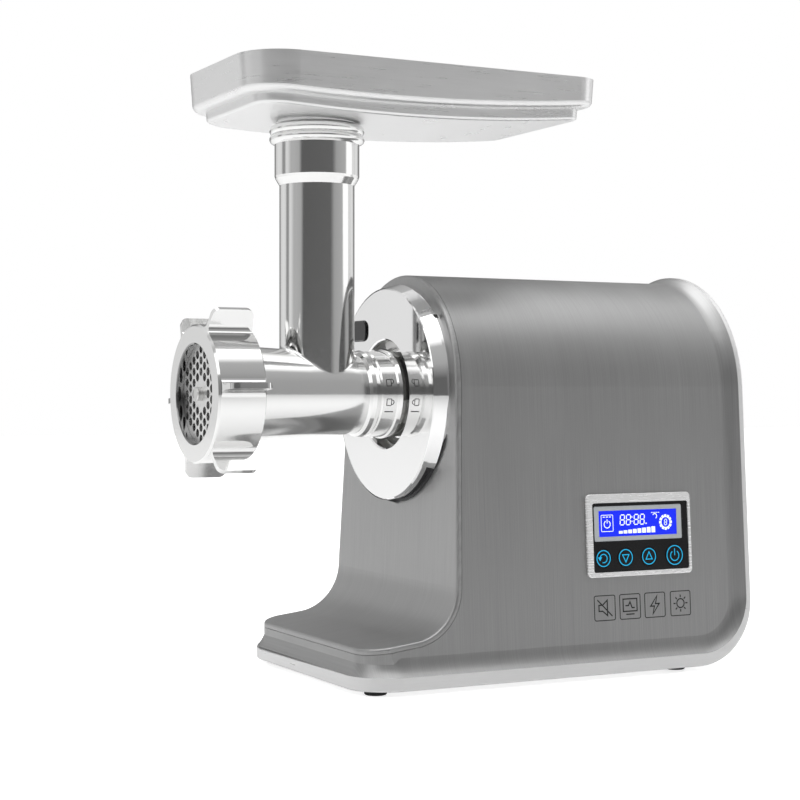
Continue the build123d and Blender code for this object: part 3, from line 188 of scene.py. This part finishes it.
looks = {
    "housing_steel": brushed("housing_flank", (0.33, 0.33, 0.33), 0.8, 0.36, (2600, 14, 14)),
    "front_steel": brushed("housing_front", (0.36, 0.36, 0.36), 0.8, 0.36, (40, 2600, 40)),
    "silver_trim": brushed(
        "silver_trim", (0.76, 0.76, 0.76), 0.45, 0.32, (60, 60, 900), SATIN_CONTRAST, SATIN_DEPTH
    ),
    "black_rubber": moulded("black_rubber", (0.025, 0.025, 0.025), 0.65),
    "dark_plastic": moulded("dark_plastic", (0.035, 0.035, 0.037), 0.42),
    "black_gloss": moulded(
        "black_gloss", (0.006, 0.006, 0.007), 0.13, 300, 0.00001, Specular_IOR_Level=0.35
    ),
    "mirror_chrome": polished("mirror_chrome", (0.86, 0.86, 0.86), 0.05),
    "polished_casting": polished("polished_casting", (0.80, 0.80, 0.795), 0.09, 0.00005),
    "tray_aluminium": brushed(
        "tray_aluminium", (0.76, 0.76, 0.76), 0.85, 0.3, (30, 30, 900), SATIN_CONTRAST, SATIN_DEPTH
    ),
    "tool_steel": brushed("tool_steel", (0.74, 0.74, 0.735), 1.0, 0.3, (300, 300, 300), 0.05),
    "cast_aluminium": moulded(
        "cast_aluminium", (0.62, 0.62, 0.61), 0.38, 900, 0.0001, Metallic=1.0
    ),
    "gear_nylon": moulded("gear_nylon", (0.82, 0.80, 0.73), 0.45),
    "gear_steel": brushed("gear_steel", (0.45, 0.45, 0.46), 1.0, 0.32, (40, 900, 900), 0.1),
    "bronze": moulded("bronze", (0.62, 0.40, 0.17), 0.35, 2000, 0.00005, Metallic=1.0),
    "lamination": brushed("lamination", (0.28, 0.29, 0.31), 1.0, 0.4, (2500, 10, 10), 0.2),
    "copper": brushed("copper", (0.70, 0.30, 0.12), 0.9, 0.3, (20, 1600, 1600), 0.18),
    "carbon": moulded("carbon", (0.03, 0.03, 0.03), 0.55),
    "bearing_steel": polished("bearing_steel", (0.7, 0.7, 0.7), 0.15),
    "screw_steel": brushed("screw_steel", (0.55, 0.55, 0.54), 1.0, 0.28, (500, 500, 500), 0.08),
    "board_green": moulded("board_green", (0.02, 0.16, 0.07), 0.35),
    "components": moulded("components", (0.06, 0.06, 0.07), 0.4),
    "display_frame": moulded("display_frame", (0.50, 0.53, 0.55), 0.3),
    "display_blue": new_material(
        "display_blue", (0.0, 0.012, 0.45), 0.0, 0.2,
        Emission_Color=(0.0, 0.012, 0.72, 1.0), Emission_Strength=0.9,
    ),
}


def nut_look():
    """Polished nut with painted shade: its inner wall, where the plate shades it, is given a dark colour."""
    made = polished("nut_casting_painted_shade", (0.80, 0.80, 0.795), 0.09, 0.00005)
    disc_low, disc_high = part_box("collar_disc")
    axis_z = (disc_low.z + disc_high.z) / 2
    place = add_node(made, "ShaderNodeTexCoord")
    shift = add_node(made, "ShaderNodeMapping")
    shift.inputs["Location"].default_value = (0.0, 0.0, -axis_z)
    shift.inputs["Scale"].default_value = (0.0, 1.0, 1.0)
    length = add_node(made, "ShaderNodeVectorMath", operation="LENGTH")
    link(made, place.outputs["Object"], shift.inputs["Vector"])
    link(made, shift.outputs["Vector"], length.inputs[0])
    # painted shade: the base colour turns dark inside the nut's inner radius, where the plate casts shade
    inner = spread(made, length.outputs["Value"], 0.0, 1.0, 29.2 * MM, 30.2 * MM)
    to_shader(made, "Base Color", tint(made, inner, (0.22, 0.22, 0.22), (0.80, 0.80, 0.795)))
    return made


looks["nut_casting_painted_shade"] = nut_look()
# painted light: the silver trim look with its colour raised, to make up for the dark part of the studio that the
# bezel reflects
looks["bezel_silver_painted_light"] = brushed(
    "bezel_silver_painted_light", (0.88, 0.88, 0.88), 0.45, 0.25, (60, 60, 900), SATIN_CONTRAST, SATIN_DEPTH
)
OWN_LOOKS = {"front_panel": "front_steel", "ring_nut": "nut_casting_painted_shade", "panel_bezel": "bezel_silver_painted_light"}
slots = {part["node"]: part["material_slot"] for part in frame["record"]["subparts"]}
for node, piece in frame["nodes"].items():
    key = OWN_LOOKS.get(node, slots[node])
    piece.data.materials.clear()
    piece.data.materials.append(looks[key])


# ------------------------------------------------------------------ thin raised marks
def relief(name, shapes, low, high, place, look, body):
    """Solid marks standing from low to high over a surface, placed by place(u, v, w)."""
    build = bmesh.new()
    for edges in shapes:
        left, right, closed = edges
        count = len(left)
        rings = []
        for (lu, lv), (ru, rv) in zip(left, right):
            corners = [(lu, lv, low), (lu, lv, high), (ru, rv, high), (ru, rv, low)]
            rings.append([build.verts.new(place(*corner)) for corner in corners])
        steps = range(count if closed else count - 1)
        for step in steps:
            here, after = rings[step], rings[(step + 1) % count]
            for side in range(4):
                other = (side + 1) % 4
                build.faces.new((here[side], here[other], after[other], after[side]))
        if not closed:
            build.faces.new(rings[0])
            build.faces.new(list(reversed(rings[-1])))
    bmesh.ops.recalc_face_normals(build, faces=build.faces)
    mesh = bpy.data.meshes.new(name)
    build.to_mesh(mesh)
    build.free()
    mesh.materials.append(look)
    piece = bpy.data.objects.new(name, mesh)
    bpy.context.scene.collection.objects.link(piece)
    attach(piece, body)
    return piece


def stroke(points, width, closed=False):
    """Both edges of a line of constant width, mitred at its corners."""
    count = len(points)
    left, right = [], []
    for index in range(count):
        here = Vector(points[index])
        before = Vector(points[index - 1]) if closed or index else None
        after = Vector(points[(index + 1) % count]) if closed or index < count - 1 else None
        incoming = (here - before) if before else None
        outgoing = (after - here) if after else None
        ways = [way.normalized() for way in (incoming, outgoing) if way]
        across = [Vector((-way.y, way.x)) for way in ways]
        mitre = sum(across, Vector((0.0, 0.0))).normalized()
        reach = width / 2 / max(0.35, mitre.dot(across[0]))
        left.append(tuple(here + mitre * reach))
        right.append(tuple(here - mitre * reach))
    return left, right, closed


def arc(centre, radius, start, end, steps=24):
    """Points along an arc, angles in degrees."""
    angles = [math.radians(start + (end - start) * step / steps) for step in range(steps + 1)]
    return [
        (centre[0] + radius * math.cos(angle), centre[1] + radius * math.sin(angle))
        for angle in angles
    ]


def ring(centre, radius, width, steps=40):
    return stroke(arc(centre, radius, 0, 360 * (steps - 1) / steps, steps - 1), width, closed=True)


def block(low, high):
    """Filled rectangle, as a stroke down its middle."""
    middle_v = (low[1] + high[1]) / 2
    return stroke([(low[0], middle_v), (high[0], middle_v)], high[1] - low[1])


def frame_of(low, high, width, corner=0.0):
    """Outline of a rectangle with rounded corners."""
    if corner <= 0:
        return stroke([low, (high[0], low[1]), high, (low[0], high[1])], width, closed=True)
    points = []
    left, right = low[0] + corner, high[0] - corner
    lower, upper = low[1] + corner, high[1] - corner
    for cu, cv, start in ((right, upper, 0), (left, upper, 90), (left, lower, 180), (right, lower, 270)):
        points += arc((cu, cv), corner, start, start + 90, 6)
    return stroke(points, width, closed=True)


def wedge(points):
    """Filled triangle: a stroke whose width runs from nothing to its base."""
    tip, left, right = points
    return [tip, left], [(tip[0] + 1e-6, tip[1]), right], False


# ------------------------------------------------------------------ control panel plane
joint_axes = {joint["name"]: Vector(joint["axis"]) for joint in frame["joints"]}
PANEL_OUT = -joint_axes["key_power_press"].normalized()
PANEL_U = Vector((1.0, 0.0, 0.0))
PANEL_V = PANEL_OUT.cross(PANEL_U)


def panel_span(node):
    """Limits of a node along the panel, up the panel and out of it."""
    places = [vertex.co for vertex in frame["nodes"][node].data.vertices]
    spans = []
    for axis in (PANEL_U, PANEL_V, PANEL_OUT):
        reach = [place.dot(axis) for place in places]
        spans.append((min(reach), max(reach)))
    return spans


def on_panel(u, v, w):
    return PANEL_U * u + PANEL_V * v + PANEL_OUT * w


def span_centre(span):
    return (span[0][0] + span[0][1]) / 2, (span[1][0] + span[1][1]) / 2


GLOW_CYAN = new_material(
    "key_glow", (0.0, 0.12, 0.2), 0.0, 0.3,
    Emission_Color=(0.0, 0.42, 0.75, 1.0), Emission_Strength=1.0,
)
GLOW_WHITE = new_material(
    "segment_glow", (0.6, 0.65, 0.8), 0.0, 0.3,
    Emission_Color=(0.75, 0.82, 1.0, 1.0), Emission_Strength=0.9,
)
PRINT_DARK = new_material("print_dark", (0.012, 0.012, 0.012), 0.0, 0.6)
MARK_HIGH = 0.06 * MM
MARK_SUNK = 0.03 * MM           # how far a printed mark reaches into the surface
BEZEL_HIGH = 2.0 * MM           # the panel's frame stands this far over the flank


# strokes of the seven segments of a digit, in a cell one unit wide and two high
SEGMENTS = {
    "top": ((0.12, 2.0), (0.88, 2.0)),
    "middle": ((0.12, 1.0), (0.88, 1.0)),
    "bottom": ((0.12, 0.0), (0.88, 0.0)),
    "upper_left": ((0.0, 1.88), (0.0, 1.12)), "upper_right": ((1.0, 1.88), (1.0, 1.12)),
    "lower_left": ((0.0, 0.88), (0.0, 0.12)), "lower_right": ((1.0, 0.88), (1.0, 0.12)),
}


def eight(u, v, width, line):
    """Digit eight, all of its segments lit, leaning slightly."""
    lean = 0.08
    strokes = []
    for start, end in SEGMENTS.values():
        points = [(u + (pu + lean * pv) * width, v + pv * width) for pu, pv in (start, end)]
        strokes.append(stroke(points, line))
    return strokes


def add_display_marks():
    span = panel_span("display_module")
    face = panel_span("display_surround")
    centre_u, centre_v = span_centre(face)
    surface = span[2][1]
    half_u = (span[0][1] - span[0][0]) / 2 - 2 * MM
    digit = 3.0 * MM
    line = 0.62 * MM
    marks = []
    for place in (-13.0, -8.6, -2.9, 1.5):
        marks += eight(centre_u + place * MM, centre_v - 1.0 * MM, digit, line)
    for height in (0.6, 3.2):
        dot_low = (centre_u - 4.6 * MM, centre_v + height * MM)
        dot_high = (centre_u - 3.9 * MM, centre_v + (height + 0.7) * MM)
        marks.append(block(dot_low, dot_high))
    point_low = (centre_u + 5.6 * MM, centre_v - 1.0 * MM)
    point_high = (centre_u + 6.4 * MM, centre_v - 0.2 * MM)
    marks.append(block(point_low, point_high))
    for step in range(8):
        left = centre_u + (-14.0 + 3.4 * step) * MM
        top = centre_v + (-4.6 + 0.28 * step) * MM
        marks.append(block((left, centre_v - 6.2 * MM), (left + 2.7 * MM, top)))
    dial = (centre_u + 20.4 * MM, centre_v - 0.3 * MM)
    for step in range(12):
        angle = math.radians(30 * step)
        way = (math.cos(angle), math.sin(angle))
        spoke = [(dial[0] + way[0] * r * MM, dial[1] + way[1] * r * MM) for r in (3.0, 4.7)]
        marks.append(stroke(spoke, 1.6 * MM))
    marks += eight(dial[0] - 0.95 * MM, dial[1] - 1.7 * MM, 1.7 * MM, 0.4 * MM)
    box_low = (centre_u - half_u + 2.0 * MM, centre_v - 4.6 * MM)
    box_high = (box_low[0] + 8.4 * MM, centre_v + 5.2 * MM)
    marks.append(frame_of(box_low, box_high, 0.35 * MM, 0.6 * MM))
    icon = ((box_low[0] + box_high[0]) / 2, (box_low[1] + box_high[1]) / 2 - 0.6 * MM)
    marks.append(stroke(arc(icon, 2.2 * MM, 120, 420), 0.5 * MM))
    marks.append(stroke([(icon[0], icon[1] + 0.6 * MM), (icon[0], icon[1] + 2.9 * MM)], 0.5 * MM))
    for step in range(3):
        left = box_low[0] + (1.2 + 2.2 * step) * MM
        marks.append(block((left, box_high[1] - 1.4 * MM), (left + 1.5 * MM, box_high[1] - 0.9 * MM)))
    turn_centre = (centre_u + 12.5 * MM, centre_v + 3.6 * MM)
    marks.append(stroke(arc(turn_centre, 1.5 * MM, -60, 150), 0.5 * MM))
    for step in range(4):
        left = centre_u + (10.0 + 1.6 * step) * MM
        marks.append(block((left, centre_v + 5.6 * MM), (left + 1.1 * MM, centre_v + 6.0 * MM)))
    relief("display_marks", marks, surface, surface + MARK_HIGH, on_panel, GLOW_WHITE, "root")


def key_symbol(name, centre, size):
    """Sign on a key: a turning arrow, a triangle down or up, or the power sign."""
    line = 0.5 * MM
    if name == "reverse":
        tip = (centre[0] - 0.55 * size, centre[1] + 0.02 * size)
        return [
            stroke(arc(centre, 0.55 * size, 180, -110), line),
            wedge([(tip[0], tip[1] - 0.34 * size), (tip[0] - 0.3 * size, tip[1] + 0.16 * size),
                   (tip[0] + 0.3 * size, tip[1] + 0.16 * size)]),
        ]
    if name == "power":
        return [
            stroke(arc((centre[0], centre[1] - 0.05 * size), 0.55 * size, 125, 415), line),
            stroke([(centre[0], centre[1] - 0.02 * size), (centre[0], centre[1] + 0.72 * size)], line),
        ]
    up = 1 if name == "up" else -1
    base_v = centre[1] - up * 0.36 * size
    triangle = [
        (centre[0], centre[1] + up * 0.6 * size),
        (centre[0] + 0.5 * size, base_v),
        (centre[0] - 0.5 * size, base_v),
    ]
    return [stroke(triangle, line, closed=True)]


def add_key_marks():
    for name in ("reverse", "down", "up", "power"):
        span = panel_span("key_" + name)
        centre = span_centre(span)
        radius = (span[0][1] - span[0][0]) / 2
        marks = [ring(centre, radius - 0.75 * MM, 0.5 * MM)]
        marks += key_symbol(name, centre, radius - 0.9 * MM)
        relief(
            "key_marks_" + name, marks, span[2][1] - 0.01 * MM, span[2][1] + MARK_HIGH, on_panel, GLOW_CYAN,
            "key_" + name,
        )


def icon_strokes(kind, centre, line):
    """Sign inside a flank icon: a crossed loudspeaker, a display, a bolt or a wheel of rays."""
    def at(points):
        return [(centre[0] + u * MM, centre[1] + v * MM) for u, v in points]

    if kind == "quiet":
        horn = [(-4.2, -1.8), (-1.6, -1.8), (1.8, -4.6), (1.8, 4.6), (-1.6, 1.8), (-4.2, 1.8)]
        return [stroke(at(horn), line, closed=True), stroke(at([(-5.2, 5.0), (5.2, -5.0)]), line)]
    if kind == "display":
        foot = stroke(at([(-3.0, -4.6), (3.0, -4.6)]), line)
        pulse = stroke(at([(-3.4, 0.6), (-1.2, 0.6), (0.0, 2.8), (1.4, -0.8), (3.4, -0.8)]), line)
        screen = [(-5.0, -2.8), (5.0, -2.8), (5.0, 4.6), (-5.0, 4.6)]
        return [stroke(at(screen), line, closed=True), foot, pulse]
    if kind == "bolt":
        flash = [(1.6, 5.4), (-3.2, -0.7), (-0.4, -0.7), (-1.6, -5.4), (3.2, 0.7), (0.4, 0.7)]
        return [stroke(at(flash), line, closed=True)]
    marks = [ring(centre, 2.7 * MM, line)]
    for step in range(8):
        angle = math.radians(45 * step)
        way = (math.cos(angle), math.sin(angle))
        marks.append(stroke(at([(way[0] * 3.6, way[1] * 3.6), (way[0] * 5.2, way[1] * 5.2)]), line))
    return marks


def add_flank_icons():
    bezel = panel_span("panel_bezel")
    centre_u, centre_v = span_centre(bezel)
    surface = bezel[2][1] - BEZEL_HIGH
    half = 7.4 * MM
    marks = []
    for kind, shift in (("quiet", -26.0), ("display", -7.8), ("bolt", 10.4), ("wheel", 29.4)):
        centre = (centre_u + shift * MM, centre_v - 43.2 * MM)
        low = (centre[0] - half, centre[1] - half)
        high = (centre[0] + half, centre[1] + half)
        marks.append(frame_of(low, high, 0.55 * MM, 1.2 * MM))
        marks += icon_strokes(kind, centre, 0.75 * MM)
    relief(
        "flank_icons", marks, surface - MARK_SUNK, surface + MARK_HIGH, on_panel, PRINT_DARK,
        "root",
    )


def round_axis(surface):
    """Placing on a turned surface: u along the axis, v round it from the near side, w outwards."""
    low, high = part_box("collar_disc")
    axis_y = (low[1] + high[1]) / 2
    axis_z = (low[2] + high[2]) / 2

    def place(u, v, w):
        radius = surface(u) + w
        angle = v / surface(u)
        across = radius * math.cos(angle)
        return Vector((low[0] + u, axis_y - across, axis_z + radius * math.sin(angle)))

    return place


def add_lock_marks():
    """Open and closed padlocks and an index line on the bayonet band, an index on the ring."""
    def band(u):
        return 25.8 * MM + (u + 13.0 * MM) / 9.0 * 0.4

    def side(u):
        return 67.1 * MM + (u - 7.5 * MM) / 7.0 * 0.5

    along = -8.6 * MM
    line = 0.45 * MM
    marks = []
    for angle, opened in ((15, True), (-11, False)):
        v = math.radians(angle) * 26 * MM
        lock_low = (along - 2.2 * MM, v - 2.0 * MM)
        lock_high = (along + 0.8 * MM, v + 2.0 * MM)
        marks.append(frame_of(lock_low, lock_high, line, 0.4 * MM))
        lift = 0.9 * MM if opened else 0.0
        shackle = arc((along + 1.0 * MM, v + lift), 1.4 * MM, -90, 90, 10)
        marks.append(stroke(shackle, line))
    index = math.radians(-24) * 26 * MM
    marks.append(stroke([(along - 3.0 * MM, index), (along + 2.6 * MM, index)], line * 1.4))
    relief(
        "lock_marks", marks, -MARK_SUNK, MARK_HIGH, round_axis(band), PRINT_DARK,
        "head",
    )
    v = math.radians(43) * 67.3 * MM
    tick = [block((8.3 * MM, v - 1.4 * MM), (10.6 * MM, v + 1.4 * MM))]
    relief(
        "ring_index", tick, -MARK_SUNK, MARK_HIGH, round_axis(side), PRINT_DARK,
        "root",
    )


add_display_marks()
add_key_marks()
add_flank_icons()
add_lock_marks()


# ------------------------------------------------------------------ studio
def add_floor():
    mesh = bpy.data.meshes.new("floor")
    half = 6.0
    corners = [(-half, -half, 0), (half, -half, 0), (half, half, 0), (-half, half, 0)]
    mesh.from_pydata(corners, [], [(0, 1, 2, 3)])
    floor = bpy.data.objects.new("floor", mesh)
    bpy.context.scene.collection.objects.link(floor)
    pale = new_material("floor_white", (0.88, 0.88, 0.88), 0.0, 0.2, Specular_IOR_Level=0.12,
                        Emission_Color=(1.0, 1.0, 1.0, 1.0))
    seen = add_node(pale, "ShaderNodeLightPath")
    glow = spread(pale, seen.outputs["Is Camera Ray"], 0.1, 0.75, 0.0, 1.0)
    to_shader(pale, "Emission Strength", glow)
    mesh.materials.append(pale)


def add_area(name, place, target, size, power, size_y=None):
    data = bpy.data.lights.new(name, "AREA")
    data.energy = power
    data.size = size
    if size_y:
        data.shape = "RECTANGLE"
        data.size_y = size_y
    lamp = bpy.data.objects.new(name, data)
    bpy.context.scene.collection.objects.link(lamp)
    lamp.location = place
    lamp.rotation_euler = (Vector(target) - Vector(place)).to_track_quat("-Z", "Y").to_euler()
    return lamp


# brightness of the studio round the object near the horizon: azimuth in degrees, value
STUDIO_WALLS = (
    (-180, 0.50), (-164, 0.45), (-156, 0.12), (-72, 0.14), (-60, 0.40), (-31, 0.48), (-23, 0.90),
    (-8, 0.92), (-3, 0.35), (5, 0.35), (10, 0.88), (26, 0.85), (36, 0.25), (92, 0.25), (100, 0.70),
    (118, 0.85), (134, 0.80), (139, 0.32), (148, 0.32), (153, 0.85), (162, 0.75), (170, 0.50),
    (180, 0.50),
)
# brightness by height of the direction, from the horizon to straight up
STUDIO_CEILING = ((0.0, 0.0), (0.2, 0.05), (0.5, 0.42), (0.74, 0.5), (0.84, 1.7), (1.0, 2.2))


def grey_ramp(made, source, stops):
    """Piecewise brightness over a value from 0 to 1."""
    ramp = add_node(made, "ShaderNodeValToRGB")
    elements = ramp.color_ramp.elements
    while len(elements) < len(stops):
        elements.new(0.5)
    for element, (place, _) in zip(elements, stops):
        element.position = place
    for element, (_, value) in zip(elements, stops):
        element.color = (value, value, value, 1.0)
    link(made, source, ramp.inputs["Fac"])
    return ramp.outputs["Color"]


def add_world():
    """Pale backdrop for the lens, and a studio of dark and light walls for reflections."""
    world = bpy.data.worlds.new("studio")
    bpy.context.scene.world = world
    world.use_nodes = True
    shade = world.node_tree.nodes["Background"]
    place = add_node(world, "ShaderNodeTexCoord")
    parts = add_node(world, "ShaderNodeSeparateXYZ")
    link(world, place.outputs["Generated"], parts.inputs["Vector"])
    turn = add_node(world, "ShaderNodeMath", operation="ARCTAN2")
    link(world, parts.outputs["Y"], turn.inputs[0])
    link(world, parts.outputs["X"], turn.inputs[1])
    around = spread(world, turn.outputs[0], 0.0, 1.0, -math.pi, math.pi)
    walls = grey_ramp(world, around, [((angle + 180) / 360, value) for angle, value in STUDIO_WALLS])
    ceiling = grey_ramp(world, parts.outputs["Z"], STUDIO_CEILING)
    brighter = add_node(world, "ShaderNodeMath", operation="MAXIMUM")
    link(world, walls, brighter.inputs[0])
    link(world, ceiling, brighter.inputs[1])
    seen = add_node(world, "ShaderNodeLightPath")
    backdrop = add_node(world, "ShaderNodeMath", operation="MAXIMUM")
    link(world, brighter.outputs[0], backdrop.inputs[0])
    link(world, seen.outputs["Is Camera Ray"], backdrop.inputs[1])
    link(world, backdrop.outputs[0], shade.inputs["Color"])


add_floor()
add_world()
middle = (0.0, 0.0, 0.17)
add_area("key_left", (-1.9, -0.6, 1.5), middle, 1.2, 5)
add_area("fill_right", (1.9, -0.4, 1.0), middle, 1.4, 3)
add_area("back_top", (0.1, 0.4, 2.0), middle, 1.4, 9)
